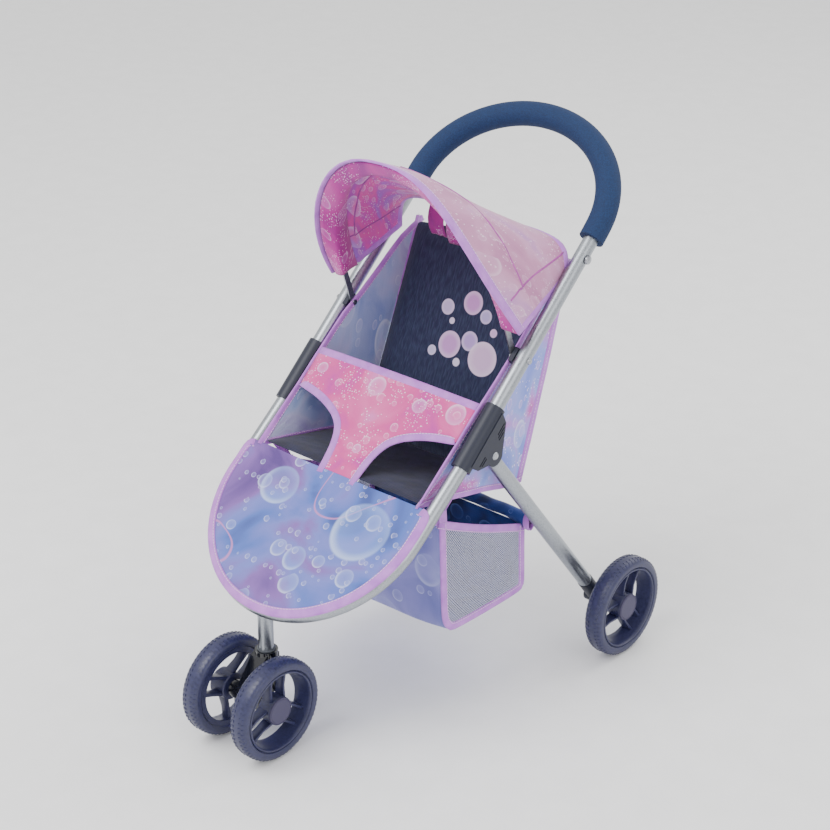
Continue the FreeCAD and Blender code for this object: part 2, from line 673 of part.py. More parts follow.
def hood():
    """The cloth from the rim over the seam to the straight rear edge, clear of the rails."""
    shell = Part.makeLoft([
        hood_section(129.5, 178.5, (52.2, 408.3), 68.5, 0.79, 1.44),
        hood_section(120, 161.7, (86, 414.5), 65.9, 0.75, 1.3),
        hood_section(115, 40, (148, 440), 90, 0.3, 0.45),
    ], True, True)
    for side in (1, -1):
        start = spot(size["rail_x"] * side, rail_point(50))
        rail = Part.makeCylinder(float(tube_radius + side_gap), 300, start, direction("rail_slope"))
        shell = shell.cut(rail)
    solid("hood", shell)


handle()
front_loop()
stem()
hub()
rivet()
rear_legs()
caster()
wheel("rear", size["rear_radius"], size["rear_wheel_x"], LEG_FOOT)
wheel("front", size["front_radius"], size["front_wheel_x"], FRONT_AXLE)
seat()
footrest()
basket()
hood_bow()
hood()
doc.recompute()

for thing in doc.Objects:
    if "Invalid" in thing.State or "Error" in thing.State:
        raise ValueError(f"{thing.Label} does not build: {thing.State}")
os.makedirs("parts", exist_ok=True)
for node in nodes:
    if node.Shape.isNull() or not node.Shape.isValid() or not node.Shape.Solids:
        raise ValueError(f"{node.Label} is not a valid solid")
    node.Shape.exportStep(f"parts/{node.Label}.step")
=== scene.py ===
import math

import bmesh
import bpy
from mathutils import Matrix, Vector, noise


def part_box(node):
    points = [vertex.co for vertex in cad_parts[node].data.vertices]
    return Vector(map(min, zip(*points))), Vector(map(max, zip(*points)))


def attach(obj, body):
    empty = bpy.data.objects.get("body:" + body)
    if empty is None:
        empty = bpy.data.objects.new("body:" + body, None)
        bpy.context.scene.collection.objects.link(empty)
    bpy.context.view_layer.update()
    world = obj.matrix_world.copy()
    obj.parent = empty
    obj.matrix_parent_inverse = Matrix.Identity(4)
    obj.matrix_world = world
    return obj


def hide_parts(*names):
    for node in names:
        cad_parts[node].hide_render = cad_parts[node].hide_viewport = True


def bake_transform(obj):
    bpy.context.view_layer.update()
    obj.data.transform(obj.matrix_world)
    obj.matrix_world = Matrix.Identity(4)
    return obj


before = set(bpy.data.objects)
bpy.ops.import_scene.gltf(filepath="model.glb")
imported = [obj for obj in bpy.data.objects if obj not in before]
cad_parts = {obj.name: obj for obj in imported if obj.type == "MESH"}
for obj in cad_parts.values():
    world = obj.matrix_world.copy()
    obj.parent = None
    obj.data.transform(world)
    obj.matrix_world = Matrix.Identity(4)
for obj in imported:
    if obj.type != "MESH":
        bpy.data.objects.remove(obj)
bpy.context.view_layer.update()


# Places, in millimetres, on the tubes of the frame. The sheet of the part puts the whole stroller
# this far along Y, so that its box is centred.
CENTRE_Y = -1.3
LOOP_SLOPE = math.radians(38.9)
HUB_LOW = (-30.0, 287.0)
CROSSBAR = (94.4, 178.3)
TYRE_DEPTH, TYRE_HALF_WIDTH = 11, 11
BACK_SLOPE, BASE_SLOPE, TUMMY_SLOPE = math.radians(67.3), math.radians(168.1), math.radians(40.4)


def mm(x, y, z):
    return Vector((x, y + CENTRE_Y, z)) / 1000


def on_plane(x, along, out, slope, start=HUB_LOW):
    """A point of a leaning plane across the stroller: along its slope and out of its upper side."""
    lean, rise = math.cos(slope), math.sin(slope)
    return mm(x, start[0] + along * lean - out * rise, start[1] + along * rise + out * lean)


def smooth(low, high, value):
    share = min(1, max(0, (value - low) / (high - low)))
    return share * share * (3 - 2 * share)


def curve_through(points, steps):
    """Points of a smooth curve through the given ones, with as many steps between each pair."""
    ends = [points[0] * 2 - points[1]] + list(points) + [points[-1] * 2 - points[-2]]
    made = []
    for before, start, end, after in zip(ends, ends[1:], ends[2:], ends[3:]):
        for step in range(steps):
            t = step / steps
            made.append((start * 2 + (end - before) * t + (before * 2 - start * 5 + end * 4 - after) * t * t
                         + (start * 3 - before - end * 3 + after) * t ** 3) / 2)
    return made + [points[-1]]


# Materials


def colour(code):
    """sRGB hex to the linear colour that shaders take."""
    parts = [int(code[i:i + 2], 16) / 255 for i in (1, 3, 5)]
    return tuple(p / 12.92 if p <= 0.04045 else ((p + 0.055) / 1.055) ** 2.4 for p in parts) + (1.0,)


def add(tree, kind, inputs=(), **settings):
    """Adds a node with its settings, and with values or links on its inputs."""
    node = tree.nodes.new(kind)
    for name, value in settings.items():
        setattr(node, name, value)
    for socket, value in dict(inputs).items():
        if isinstance(value, bpy.types.NodeSocket):
            tree.links.new(value, node.inputs[socket])
        else:
            node.inputs[socket].default_value = value
    return node


def finish(name, base, roughness, **sockets):
    """A new material with its principled shader's fixed values set."""
    made = bpy.data.materials.new(name)
    made.use_nodes = True
    shader = made.node_tree.nodes["Principled BSDF"]
    shader.inputs["Base Color"].default_value = colour(base)
    shader.inputs["Roughness"].default_value = roughness
    for socket, value in sockets.items():
        shader.inputs[socket.replace("_", " ")].default_value = value
    return made, made.node_tree, shader


def grain(tree, shader, base, deep, vector, scale, height, spread=(0.35, 0.65), detail=3.0, rough=None):
    """A surface grain: it shades the colour between two tones and raises a bump, by height in mm."""
    noise_node = add(tree, "ShaderNodeTexNoise", {"Vector": vector, "Scale": scale, "Detail": detail})
    ramp = add(tree, "ShaderNodeValToRGB", {0: noise_node.outputs[0]})
    for stop, place, code in zip(ramp.color_ramp.elements, spread, (deep, base)):
        stop.position, stop.color = place, colour(code)
    bump = add(tree, "ShaderNodeBump", {"Height": noise_node.outputs[0], "Distance": height / 1000, "Strength": 1.0})
    tree.links.new(ramp.outputs[0], shader.inputs["Base Color"])
    tree.links.new(bump.outputs[0], shader.inputs["Normal"])
    if rough:
        shine = add(tree, "ShaderNodeMapRange", {0: noise_node.outputs[0], 1: 0.3, 2: 0.7, 3: rough[0], 4: rough[1]})
        tree.links.new(shine.outputs[0], shader.inputs["Roughness"])
    return noise_node


def moulded(name, base, deep, size, height, rough, **sockets):
    """Moulded plastic, foam or rubber: an even grain of that size in mm all over."""
    made, tree, shader = finish(name, base, rough[0], **sockets)
    place = add(tree, "ShaderNodeTexCoord").outputs["Object"]
    grain(tree, shader, base, deep, place, 1000 / size, height, rough=rough)
    return made


# Drawn and satin anodised aluminium: a fine even grain in two tones and of varying roughness, which keeps its streak of
# highlight soft
def anodised(name, base, deep):
    made, tree, shader = finish(name, base, 0.34, Metallic=1.0)
    place = add(tree, "ShaderNodeTexCoord").outputs["Object"]
    grain(tree, shader, base, deep, place, 1000 / 1.4, 0.006, rough=(0.27, 0.40))
    return made


TUBE = anodised("satin anodised aluminium tube", "#A9ADB2", "#9499A0")
STRIP = anodised("rolled steel strip, zinc plated", "#B4B7BC", "#9EA2A8")
STEEL = anodised("turned steel, zinc plated", "#B9BBC0", "#8E9198")
# Closed-cell EVA foam, cut and ground: dull, with open pores of half a millimetre, drawn at 1.2 mm
FOAM = moulded("ground EVA foam", "#20365C", "#152646", 1.2, 0.16, (0.72, 0.88), Specular_IOR_Level=0.3)
# ABS moulded in a spark-eroded tool: an even fine grain that dulls the highlight
HUB = moulded("spark-grained ABS", "#141A30", "#0D1222", 0.8, 0.03, (0.40, 0.52))
# Polypropylene from a polished tool: black with sharp highlights
GLOSS = moulded("polished polypropylene", "#0D0F18", "#090B12", 9.0, 0.01, (0.10, 0.16), Coat_Weight=0.4)
NYLON = moulded("natural nylon bush", "#55585E", "#4A4D53", 2.0, 0.01, (0.4, 0.5))
# Soft PVC tyre: slate blue, waxy, a little mottled
TYRE = moulded("moulded soft PVC tyre", "#2C2E52", "#232544", 3.0, 0.02, (0.30, 0.42))
RIM = moulded("satin moulded polypropylene wheel", "#2E3054", "#262846", 2.2, 0.015, (0.32, 0.44))
CAP = moulded("fine-grained hub cap", "#3A3555", "#332E4B", 0.9, 0.02, (0.45, 0.55))
STITCH = moulded("spun polyester thread", "#E9CDEB", "#D9B7DF", 0.6, 0.02, (0.6, 0.7))


def weave(tree, uv, pitch, height):
    """A plain weave's bump: threads both ways at the given pitch in mm."""
    threads = [
        add(tree, "ShaderNodeTexWave", {
            "Vector": uv, "Scale": 1000 / pitch / 20 * 3.1416, "Distortion": 1.5, "Detail": 1.0,
        }, bands_direction=way).outputs["Fac"]
        for way in ("X", "Y")
    ]
    crossed = add(tree, "ShaderNodeMath", {0: threads[0], 1: threads[1]}, operation="MAXIMUM").outputs[0]
    creases = add(tree, "ShaderNodeTexNoise", {"Vector": uv, "Scale": 28.0, "Detail": 2.0}).outputs[0]
    fine = add(tree, "ShaderNodeBump", {"Height": crossed, "Distance": height / 1000, "Strength": 0.6})
    return add(tree, "ShaderNodeBump", {"Height": creases, "Distance": 0.0035, "Strength": 0.5, "Normal": fine.outputs[0]})


def bubbles(tree, uv, ground, size, share, tint, light, power=0.55):
    """Prints bubbles over a colour: one in some cells of that size in mm, with a soft rim and a glint."""
    swim = add(tree, "ShaderNodeTexNoise", {"Vector": uv, "Scale": 500 / size, "Detail": 1.0}).outputs["Color"]
    swim = add(tree, "ShaderNodeVectorMath", {0: swim, 1: (0.5, 0.5, 0.5)}, operation="SUBTRACT").outputs[0]
    swim = add(tree, "ShaderNodeVectorMath", {0: swim, "Scale": size * 0.00022}, operation="SCALE").outputs[0]
    bent = add(tree, "ShaderNodeVectorMath", {0: uv, 1: swim}, operation="ADD").outputs[0]
    cell = add(tree, "ShaderNodeTexVoronoi", {"Vector": bent, "Scale": 1000 / size, "Randomness": 0.85},
               voronoi_dimensions="2D")
    chance = add(tree, "ShaderNodeSeparateColor", {0: cell.outputs["Color"]})
    away = add(tree, "ShaderNodeVectorMath", {0: bent, 1: cell.outputs["Position"]}, operation="SUBTRACT").outputs[0]
    reach = add(tree, "ShaderNodeVectorMath", {0: away}, operation="LENGTH").outputs["Value"]
    radius = add(tree, "ShaderNodeMapRange", {0: chance.outputs[0], 3: size * 0.00012, 4: size * 0.00045}).outputs[0]
    part = add(tree, "ShaderNodeMath", {0: reach, 1: radius}, operation="DIVIDE").outputs[0]
    shown = add(tree, "ShaderNodeMath", {0: chance.outputs[1], 1: share}, operation="LESS_THAN").outputs[0]
    body = add(tree, "ShaderNodeMapRange", {0: part, 1: 1.0, 2: 0.9, 3: 0.0, 4: 1.0}, interpolation_type="SMOOTHSTEP")
    inside = add(tree, "ShaderNodeMath", {0: body.outputs[0], 1: shown}, operation="MULTIPLY").outputs[0]
    towards = add(tree, "ShaderNodeVectorMath", {0: away}, operation="NORMALIZE").outputs[0]
    upper = add(tree, "ShaderNodeVectorMath", {0: towards, 1: (-0.55, 0.83, 0.0)}, operation="DOT_PRODUCT").outputs["Value"]
    lit = add(tree, "ShaderNodeMapRange", {0: upper, 1: -0.6, 2: 0.9, 3: 0.18, 4: 1.0}, interpolation_type="SMOOTHSTEP")
    rim = add(tree, "ShaderNodeMapRange", {0: part, 1: 0.62, 2: 0.98, 3: 0.0, 4: power}, interpolation_type="SMOOTHERSTEP")
    bright = add(tree, "ShaderNodeMath", {0: rim.outputs[0], 1: lit.outputs[0]}, operation="MULTIPLY").outputs[0]
    bright = add(tree, "ShaderNodeMath", {0: bright, 1: inside}, operation="MULTIPLY").outputs[0]
    depth = add(tree, "ShaderNodeMapRange", {0: part, 1: 0.0, 2: 1.0, 3: 0.14, 4: 0.5}).outputs[0]
    veil = add(tree, "ShaderNodeMath", {0: inside, 1: depth}, operation="MULTIPLY").outputs[0]
    veiled = add(tree, "ShaderNodeMix", {0: veil, 6: ground, 7: colour(tint)}, data_type="RGBA").outputs[2]
    return add(tree, "ShaderNodeMix", {0: bright, 6: veiled, 7: colour(light)}, data_type="RGBA").outputs[2]


def flecks(tree, uv, ground, size, share, light):
    """Tiny round dots scattered in clusters over a print."""
    cell = add(tree, "ShaderNodeTexVoronoi", {"Vector": uv, "Scale": 1000 / size}, voronoi_dimensions="2D")
    chance = add(tree, "ShaderNodeSeparateColor", {0: cell.outputs["Color"]}).outputs
    drift = add(tree, "ShaderNodeTexNoise", {"Vector": uv, "Scale": 26.0, "Detail": 2.0}).outputs[0]
    crowd = add(tree, "ShaderNodeMapRange", {0: drift, 1: 0.42, 2: 0.62, 3: 0.0, 4: share}).outputs[0]
    shown = add(tree, "ShaderNodeMath", {0: chance[1], 1: crowd}, operation="LESS_THAN").outputs[0]
    radius = add(tree, "ShaderNodeMapRange", {0: chance[0], 3: 0.1, 4: 0.3}).outputs[0]
    dot = add(tree, "ShaderNodeMath", {0: cell.outputs["Distance"], 1: radius}, operation="LESS_THAN").outputs[0]
    spot = add(tree, "ShaderNodeMath", {0: dot, 1: shown}, operation="MULTIPLY").outputs[0]
    spot = add(tree, "ShaderNodeMath", {0: spot, 1: 0.75}, operation="MULTIPLY").outputs[0]
    return add(tree, "ShaderNodeMix", {0: spot, 6: ground, 7: colour(light)}, data_type="RGBA").outputs[2]


def printed(name, stops, layers, wash=16.0, strands=None, roughness=0.7, pitch=1.3, dots=None):
    """Printed polyester: a watery wash through the stops, then bubbles from large to small."""
    made, tree, shader = finish(name, stops[0][1], roughness, Sheen_Weight=0.15, Specular_IOR_Level=0.35)
    uv = add(tree, "ShaderNodeUVMap", uv_map="cloth").outputs[0]
    flow = add(tree, "ShaderNodeTexNoise", {
        "Vector": uv, "Scale": wash, "Detail": 4.0, "Roughness": 0.45, "Distortion": 0.8,
    })
    ramp = add(tree, "ShaderNodeValToRGB", {0: flow.outputs[0]})
    while len(ramp.color_ramp.elements) < len(stops):
        ramp.color_ramp.elements.new(0.5)
    for stop, (place, code) in zip(ramp.color_ramp.elements, stops):
        stop.position, stop.color = place, colour(code)
    ground = ramp.outputs[0]
    if strands:
        size, width, tint = strands
        cell = add(tree, "ShaderNodeTexVoronoi", {"Vector": uv, "Scale": 1000 / size}, voronoi_dimensions="2D",
                   feature="SMOOTH_F1")
        line = add(tree, "ShaderNodeMath", {0: cell.outputs["Distance"], 1: 0.52}, operation="SUBTRACT").outputs[0]
        line = add(tree, "ShaderNodeMath", {0: line}, operation="ABSOLUTE").outputs[0]
        thin = width / size
        line = add(tree, "ShaderNodeMapRange", {0: line, 1: thin * 0.7, 2: thin * 0.3, 3: 0.0, 4: 0.75}).outputs[0]
        ground = add(tree, "ShaderNodeMix", {0: line, 6: ground, 7: colour(tint)}, data_type="RGBA").outputs[2]
    for layer in layers:
        ground = bubbles(tree, uv, ground, *layer)
    if dots:
        ground = flecks(tree, uv, ground, *dots)
    tree.links.new(ground, shader.inputs["Base Color"])
    tree.links.new(weave(tree, uv, pitch, 0.12).outputs[0], shader.inputs["Normal"])
    return made


def dyed(name, base, deep, height=0.14, pitch=1.4, roughness=0.8):
    """Plain dyed cloth or tape: slightly uneven dye over a weave."""
    made, tree, shader = finish(name, base, roughness, Sheen_Weight=0.2, Specular_IOR_Level=0.3)
    uv = add(tree, "ShaderNodeUVMap", uv_map="cloth").outputs[0]
    grain(tree, shader, base, deep, uv, 60.0, 0.2)
    tree.links.new(weave(tree, uv, pitch, height).outputs[0], shader.inputs["Normal"])
    return made


# Transfer-printed polyester plain weave, each print in its own colours
PINK = printed("transfer-printed polyester, pink bubbles",
               [(0.33, "#B04FB4"), (0.43, "#DE52A8"), (0.51, "#D44CB4"), (0.59, "#B45AC8"), (0.70, "#A47CDC")],
               [(52, 0.5, "#D9B4EC", "#F4E2FA"), (19, 0.4, "#E6A6DE", "#F9E3F8")], dots=(3.2, 0.5, "#FFF0FC"))
ROSE = printed("transfer-printed polyester, rose bubbles",
               [(0.33, "#B8349A"), (0.45, "#D04592"), (0.56, "#DA5FA0"), (0.68, "#CC7FC4")],
               [(34, 0.3, "#D9ABDF", "#F3DDF2"), (12, 0.25, "#E593C2", "#F6D3EA")], dots=(2.8, 0.6, "#FBDDF2"))
BLUE = printed("transfer-printed polyester, blue bubbles",
               [(0.30, "#27306A"), (0.40, "#4E68B8"), (0.48, "#6C74C2"), (0.56, "#7E58A6"), (0.66, "#54387E")],
               [(88, 0.7, "#7C9BE4", "#C6D8F8", 0.6), (30, 0.3, "#93A2E0", "#D8E2FA"), (9, 0.22, "#A0A6DC", "#E6E6FA")],
               wash=9.0, strands=(105, 0.9, "#C77DB8"))
PALE = printed("transfer-printed polyester, pale side",
               [(0.32, "#8296CE"), (0.46, "#A5B4DE"), (0.58, "#BDBCE0"), (0.70, "#A08ECC")],
               [(52, 0.35, "#C3CDEC", "#E3E9F8"), (15, 0.25, "#BEC4E8", "#E9EBFA")])
OUTER_SIDE = printed("transfer-printed polyester, outer side",
                     [(0.33, "#6E7FD8"), (0.44, "#8F9BE2"), (0.52, "#B486D8"), (0.60, "#C060B4"), (0.70, "#8A4AB0")],
                     [(34, 0.35, "#B4BCF0", "#E4E7FB"), (12, 0.3, "#C9A6E6", "#F3E4FB")], dots=(2.8, 0.4, "#F6EAFF"))
BASKET_FRONT = printed("transfer-printed polyester, basket front",
                       [(0.32, "#5F63A8"), (0.46, "#7E7CC0"), (0.58, "#9190CC"), (0.70, "#6A78B8")],
                       [(60, 0.4, "#8F92CE", "#B4B7E2"), (18, 0.2, "#999CD4", "#C6C8EA")], wash=11.0)
BASKET_IN = printed("transfer-printed polyester, basket inside",
                    [(0.32, "#101B42"), (0.46, "#22387C"), (0.58, "#2E4A98"), (0.70, "#1C2558")],
                    [(40, 0.4, "#3A57A8", "#6C88CE"), (13, 0.25, "#4562B0", "#8098D6")])
LINING = printed("thin lining cloth", [(0.34, "#B4749E"), (0.48, "#C286AC"), (0.60, "#C892B8"), (0.72, "#B47EBA")],
                 [(44, 0.35, "#D0A0C2", "#DFBDD6"), (13, 0.25, "#CE9ABE", "#E2C4DA")], dots=(3.6, 0.35, "#EAD2E4"))
BAND = printed("transfer-printed polyester, magenta band", [(0.34, "#8E2482"), (0.50, "#B42E92"), (0.66, "#C04AA0")],
               [(26, 0.35, "#C87CC4", "#ECC6E8")], dots=(2.6, 0.8, "#F3CDEE"))
# Bias-cut polyester binding, folded over each edge and sewn
BINDING = dyed("folded polyester binding", "#C07CD6", "#AE68C8")
WEBBING = dyed("woven polyester tape", "#B872CC", "#A05CB8", 0.2, 2.0)
SEAM = dyed("cloth seam, turned and sewn", "#B44FA8", "#8E3A8A", 0.2, 1.0)
# Knitted polyester net, strands of under a millimetre
NET = moulded("knitted polyester net", "#DCDDF0", "#C6C8E6", 0.9, 0.02, (0.55, 0.65))
NAVY = dyed("navy polyester, seat base", "#11183A", "#0B1028")


def denim():
    """Slubbed indigo weave: threads down the cloth, drawn at 2 mm, with a transfer print of bubbles."""
    made, tree, shader = finish("slubbed indigo weave with transfer print", "#2A3354", 0.85, Sheen_Weight=0.2)
    uv = add(tree, "ShaderNodeUVMap", uv_map="cloth").outputs[0]
    drawn = add(tree, "ShaderNodeMapping", {"Vector": uv, "Scale": (1.0, 0.16, 1.0)}).outputs[0]
    slub = add(tree, "ShaderNodeTexNoise", {"Vector": drawn, "Scale": 1000 / 1.8, "Detail": 2.0}).outputs[0]
    ramp = add(tree, "ShaderNodeValToRGB", {0: slub})
    for stop, place, code in zip(ramp.color_ramp.elements, (0.40, 0.66), ("#10173A", "#28324F")):
        stop.position, stop.color = place, colour(code)
    ground = ramp.outputs[0]
    for across, up, radius, tint in MOTIF:
        away = add(tree, "ShaderNodeVectorMath", {0: uv, 1: (across / 1000, up / 1000, 0)}, operation="DISTANCE")
        reach, edge = away.outputs["Value"], radius / 1000
        disc = add(tree, "ShaderNodeMapRange", {0: reach, 1: edge, 2: edge - 0.0009, 3: 0.0, 4: 0.92})
        shade = add(tree, "ShaderNodeMapRange", {0: reach, 1: radius / 1800, 2: edge, 3: 0.0, 4: 0.55})
        fill = add(tree, "ShaderNodeMix", {0: shade.outputs[0], 6: colour(tint), 7: colour("#F3E6F6")}, data_type="RGBA")
        layered = add(tree, "ShaderNodeMix", {0: disc.outputs[0], 6: ground, 7: fill.outputs[2]}, data_type="RGBA")
        ground = layered.outputs[2]
    tree.links.new(ground, shader.inputs["Base Color"])
    bump = add(tree, "ShaderNodeBump", {"Height": slub, "Distance": 0.0004, "Strength": 0.8})
    tree.links.new(bump.outputs[0], shader.inputs["Normal"])
    return made


# The printed bubbles on the backrest: across and up the cloth, radius (mm) and colour
MOTIF = [
    (-27, 161, 9, "#C7B4DE"), (-17, 148, 4, "#D9CFE8"), (5, 173, 13, "#CC8FD0"), (26, 163, 8, "#B8A9DA"),
    (-12, 123, 15, "#CB93D2"), (13, 133, 11, "#B99AD8"), (35, 119, 19, "#DAB6DC"), (3, 107, 5, "#DDD3EA"),
    (-33, 111, 6, "#C9C0E4"), (29, 185, 3, "#EADFF2"), (41, 149, 5, "#D7B0DC"),
]
DENIM = denim()


# Building meshes


def piece(name, mesh, materials):
    made = bpy.data.objects.new(name, mesh)
    bpy.context.scene.collection.objects.link(made)
    for material in materials:
        mesh.materials.append(material)
    mesh.polygons.foreach_set("use_smooth", [True] * len(mesh.polygons))
    return made


def outward_piece(name, graph, material):
    """A piece from a bmesh, with its faces turned outwards."""
    mesh = bpy.data.meshes.new(name)
    bmesh.ops.recalc_face_normals(graph, faces=graph.faces)
    graph.to_mesh(mesh)
    graph.free()
    return piece(name, mesh, [material])


def settle(made):
    """Turns a piece's modifiers into its mesh."""
    graph = bpy.context.evaluated_depsgraph_get()
    mesh = bpy.data.meshes.new_from_object(made.evaluated_get(graph), preserve_all_data_layers=True, depsgraph=graph)
    made.modifiers.clear()
    made.data = mesh
    return made


def lengths(points):
    total, made = 0.0, [0.0]
    for start, end in zip(points, points[1:]):
        total += (end - start).length
        made.append(total)
    return made


def cloth(name, rows, materials, thick=0.9, shift=(0, 0), turn=False):
    """A sheet through rows of points, with a map of real lengths, from the outer and the inner material."""
    across, mesh = len(rows[0]), bpy.data.meshes.new(name)
    corners = [point for row in rows for point in row]
    quads = [
        (r * across + c, r * across + c + 1, (r + 1) * across + c + 1, (r + 1) * across + c)
        for r in range(len(rows) - 1) for c in range(across - 1)
    ]
    mesh.from_pydata(corners, [], [quad[::-1] for quad in quads] if turn else quads)
    down = lengths([row[across // 2] for row in rows])
    wide = []
    for row in rows:
        run = lengths(row)
        wide.append([length - run[across // 2] for length in run])
    uv = mesh.uv_layers.new(name="cloth")
    for polygon in mesh.polygons:
        for loop in polygon.loop_indices:
            corner = mesh.loops[loop].vertex_index
            r, c = divmod(corner, across)
            uv.data[loop].uv = (wide[r][c] + shift[0], down[r] + shift[1])
    made = piece(name, mesh, materials)
    made["flat_area"] = sum(polygon.area for polygon in mesh.polygons)
    sub = made.modifiers.new("round", "SUBSURF")
    sub.levels = sub.render_levels = 1
    sub.boundary_smooth = "PRESERVE_CORNERS"
    solid = made.modifiers.new("thickness", "SOLIDIFY")
    solid.thickness, solid.offset = thick / 1000, 0
    solid.material_offset = 1
    return settle(made)


def edge_rim(edge, inner):
    """Along an edge: each point with the way into the sheet and the sheet's normal there."""
    made = []
    for number, (point, beside) in enumerate(zip(edge, inner)):
        run = edge[min(number + 1, len(edge) - 1)] - edge[max(number - 1, 0)]
        normal = run.cross(beside - point).normalized()
        made.append((point, normal.cross(run).normalized(), normal))
    return made


def rim_of(rows, side):
    """The edge of a grid on one side, as edge_rim gives it."""
    columns = list(zip(*rows))
    edge, inner = {"start": rows[:2], "end": rows[:-3:-1], "left": columns[:2], "right": columns[:-3:-1]}[side]
    return edge_rim(edge, inner)


def tape(name, rim, width, material=BINDING, thick=1.15, over=1.0, pucker=0.12):
    """A binding folded over an edge: a flat ring swept along it, drawn in a little by its stitches."""
    graph = bmesh.new()
    layer = graph.loops.layers.uv.new("cloth")
    run = lengths([point for point, _, _ in rim])
    rings, around = [], []
    for (point, inward, normal), length in zip(rim, run):
        pull = 1 + pucker * math.sin(length * 1000 * 2 * math.pi / 6.5)
        half = thick * pull
        section = [
            (-over, 0), (-over * 0.7, half * 0.75), (width * 0.15, half), (width * 0.55, half),
            (width * 0.85, half * 0.8), (width, half * 0.45), (width, -half * 0.45), (width * 0.85, -half * 0.8),
            (width * 0.55, -half), (width * 0.15, -half), (-over * 0.7, -half * 0.75),
        ]
        around = [0.001 * a for a, _ in section]
        rings.append([graph.verts.new(point + (inward * a + normal * b) / 1000) for a, b in section])
    count = len(rings[0])
    for number, (ring, after) in enumerate(zip(rings, rings[1:])):
        for k in range(count):
            n = (k + 1) % count
            face = graph.faces.new((ring[k], ring[n], after[n], after[k]))
            for loop, (u, v) in zip(face.loops, ((around[k], run[number]), (around[n], run[number]),
                                                 (around[n], run[number + 1]), (around[k], run[number + 1]))):
                loop[layer].uv = (u, v)
    for ring in (rings[0], rings[-1]):
        graph.faces.new(ring)
    return outward_piece(name, graph, material)


def joined(name, parts):
    """Several pieces as one, keeping each one's materials."""
    with bpy.context.temp_override(active_object=parts[0], selected_editable_objects=parts, selected_objects=parts):
        bpy.ops.object.join()
    parts[0].name = name
    return parts[0]


def block_row():
    """Geometry nodes: blocks at a pitch along a path, standing on the path's own outward direction."""
    tree = bpy.data.node_groups.new("blocks along a path", "GeometryNodeTree")
    tree.interface.new_socket("Path", in_out="INPUT", socket_type="NodeSocketGeometry")
    for name in ("Pitch", "Out", "Side", "Along"):
        tree.interface.new_socket(name, in_out="INPUT", socket_type="NodeSocketFloat")
    tree.interface.new_socket("Finish", in_out="INPUT", socket_type="NodeSocketMaterial")
    tree.interface.new_socket("Blocks", in_out="OUTPUT", socket_type="NodeSocketGeometry")
    given = add(tree, "NodeGroupInput").outputs
    out = add(tree, "GeometryNodeInputNamedAttribute", {"Name": "out"}, data_type="FLOAT_VECTOR").outputs[0]
    line = add(tree, "GeometryNodeMeshToCurve", {"Mesh": given["Path"]}).outputs[0]
    even = add(tree, "GeometryNodeResampleCurve", {"Curve": line, "Length": given["Pitch"]}, mode="LENGTH").outputs[0]
    tangent = add(tree, "GeometryNodeInputTangent").outputs[0]
    first = add(tree, "FunctionNodeAlignRotationToVector", {"Vector": tangent}, axis="Z").outputs[0]
    turn = add(tree, "FunctionNodeAlignRotationToVector", {"Rotation": first, "Vector": out},
               axis="X", pivot_axis="Z").outputs[0]
    sizes = add(tree, "ShaderNodeCombineXYZ", {0: given["Out"], 1: given["Side"], 2: given["Along"]}).outputs[0]
    block = add(tree, "GeometryNodeMeshCube", {"Size": sizes}).outputs[0]
    placed = add(tree, "GeometryNodeInstanceOnPoints", {"Points": even, "Instance": block, "Rotation": turn}).outputs[0]
    real = add(tree, "GeometryNodeRealizeInstances", {"Geometry": placed}).outputs[0]
    painted = add(tree, "GeometryNodeSetMaterial", {"Geometry": real, "Material": given["Finish"]}).outputs[0]
    add(tree, "NodeGroupOutput", {0: painted})
    return tree


BLOCKS = block_row()


def blocks(name, paths, material, **inputs):
    """One plain mesh of blocks along paths of (point, outward) pairs."""
    mesh = bpy.data.meshes.new(name)
    points, edges, outward = [], [], []
    for path in paths:
        start = len(points)
        points += [point for point, _ in path]
        outward += [out for _, out in path]
        edges += [(start + n, start + n + 1) for n in range(len(path) - 1)]
    mesh.from_pydata(points, edges, [])
    flat = [part for out in outward for part in out]
    mesh.attributes.new("out", "FLOAT_VECTOR", "POINT").data.foreach_set("vector", flat)
    made = piece(name, mesh, [])
    modifier = made.modifiers.new("blocks", "NODES")
    modifier.node_group = BLOCKS
    named = {socket.name: socket.identifier for socket in BLOCKS.interface.items_tree if socket.in_out == "INPUT"}
    for key, value in inputs.items():
        modifier[named[key]] = value / 1000
    modifier[named["Finish"]] = material
    return settle(made)


def stitches(name, rims, inset, lift, both=False):
    """Stitches along bindings, inset from each edge, on one face or on both."""
    paths = []
    for rim in rims:
        for side in (1, -1) if both else (1,):
            paths.append([(point + inward * inset / 1000 + normal * side * lift / 1000, normal * side)
                          for point, inward, normal in rim])
    return blocks(name, paths, STITCH, Pitch=3.6, Out=0.5, Side=0.55, Along=2.5)


def dress(made, body, slot, *replaced):
    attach(made, body)
    if replaced:
        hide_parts(*replaced)
    return made


# Hard pieces that the CAD shapes give as they are

FINISHES = {
    "handle_tube": TUBE, "front_loop_tube": TUBE, "front_stem": TUBE, "rear_leg_left": TUBE, "rear_leg_right": TUBE,
    "leg_crossbar": TUBE, "handle_grip": FOAM, "stem_plug": HUB, "caster_bush": NYLON, "hood_bow": STRIP,
    "caster_housing": GLOSS, "hub_left": HUB, "hub_right": HUB, "leg_foot_left": HUB, "leg_foot_right": HUB,
    "hood_clip_left": HUB, "hood_clip_right": HUB,
}
for node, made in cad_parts.items():
    made.data.materials.clear()
    made.data.materials.append(FINISHES.get(node, STEEL))


# Soft goods


